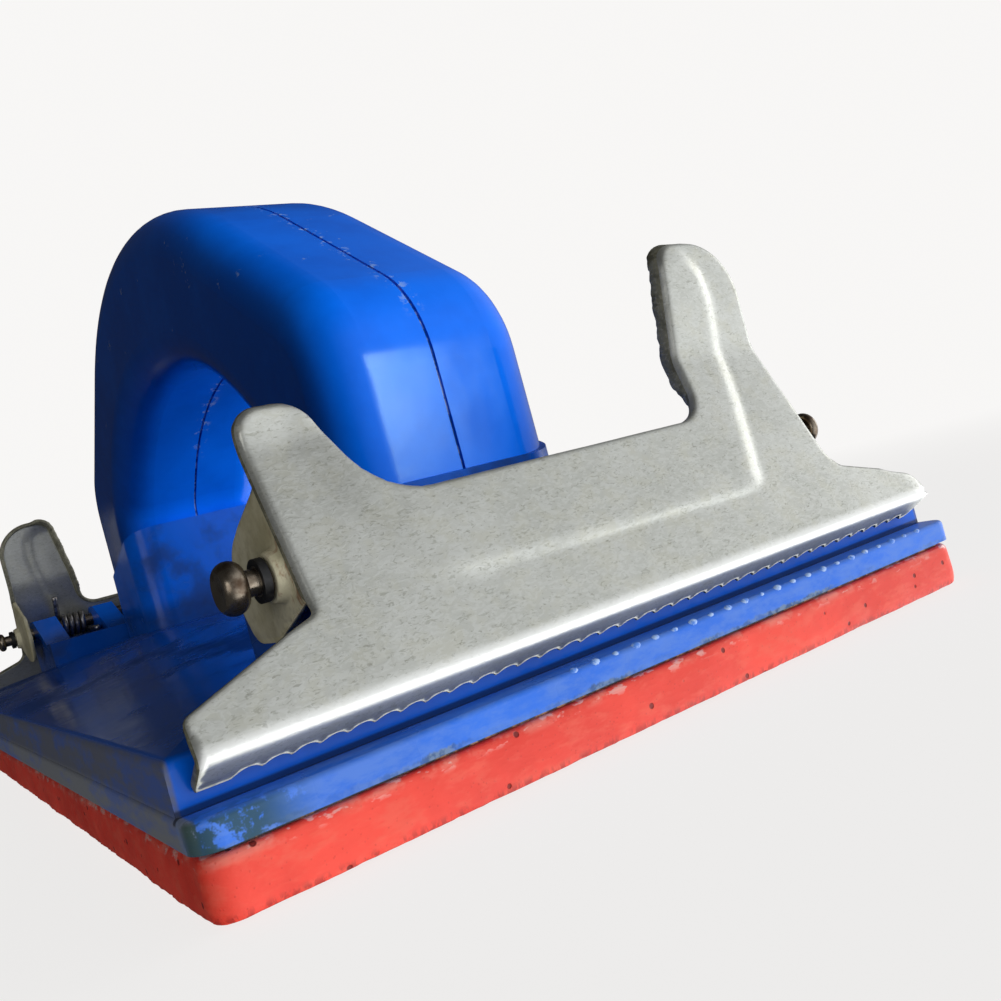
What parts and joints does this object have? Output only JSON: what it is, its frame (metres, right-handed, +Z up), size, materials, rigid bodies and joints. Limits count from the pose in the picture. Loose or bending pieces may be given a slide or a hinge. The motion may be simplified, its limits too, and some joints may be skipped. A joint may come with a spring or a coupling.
{
  "type": "sanding block",
  "caption": "Foam-soled hand sanding block with a hollow D handle and a sprung, toothed paper clip at each end.",
  "frame": {"origin": "middle of the foam sole's underside, where the block rests on the work", "axes": "+Z up out of the sole; +Y along the block's length, towards the rear; +X to the right, seen from the front"},
  "size_m": [0.105, 0.21, 0.0926],
  "materials": {
    "blue_plastic": "moulded, satin gloss, scuffed",
    "red_foam": "fine closed-cell foam, matte, worn edges",
    "adhesive": "dried contact adhesive",
    "zinc_sheet": "zinc-plated pressed steel, mottled, satin",
    "pin_steel": "tarnished turned steel",
    "black_rubber": "matte",
    "spring_steel": "drawn wire, dull",
    "screw_steel": "zinc-plated"
  },
  "bodies": {
    "block": {"foam_pad": "red_foam", "pad_adhesive": "adhesive", "base_body": "blue_plastic", "handle_shell_left": "blue_plastic", "handle_shell_right": "blue_plastic", "handle_foot_screws": "screw_steel", "handle_shell_screws": "screw_steel", "front_pivot_pin": "pin_steel", "front_pin_washers": "black_rubber", "front_spring_left": "spring_steel", "front_spring_right": "spring_steel", "rear_pivot_pin": "pin_steel", "rear_pin_washers": "black_rubber", "rear_spring_left": "spring_steel", "rear_spring_right": "spring_steel"},
    "front_clip": {"front_clip": "zinc_sheet"},
    "rear_clip": {"rear_clip": "zinc_sheet"}
  },
  "joints": [
    {"name": "front_clip_pivot", "type": "hinge", "parent": "block", "child": "front_clip", "pos_m": [0, -0.095, 0.0253], "axis": [-1, 0, 0], "range_deg": [0, 24], "stiffness_Nm_per_rad": 0.25, "springref_deg": -40.11, "deforming": ["front_spring_left", "front_spring_right"]},
    {"name": "rear_clip_pivot", "type": "hinge", "parent": "block", "child": "rear_clip", "pos_m": [0, 0.095, 0.0253], "axis": [1, 0, 0], "range_deg": [0, 24], "stiffness_Nm_per_rad": 0.25, "springref_deg": -40.11, "deforming": ["rear_spring_left", "rear_spring_right"]}
  ]
}
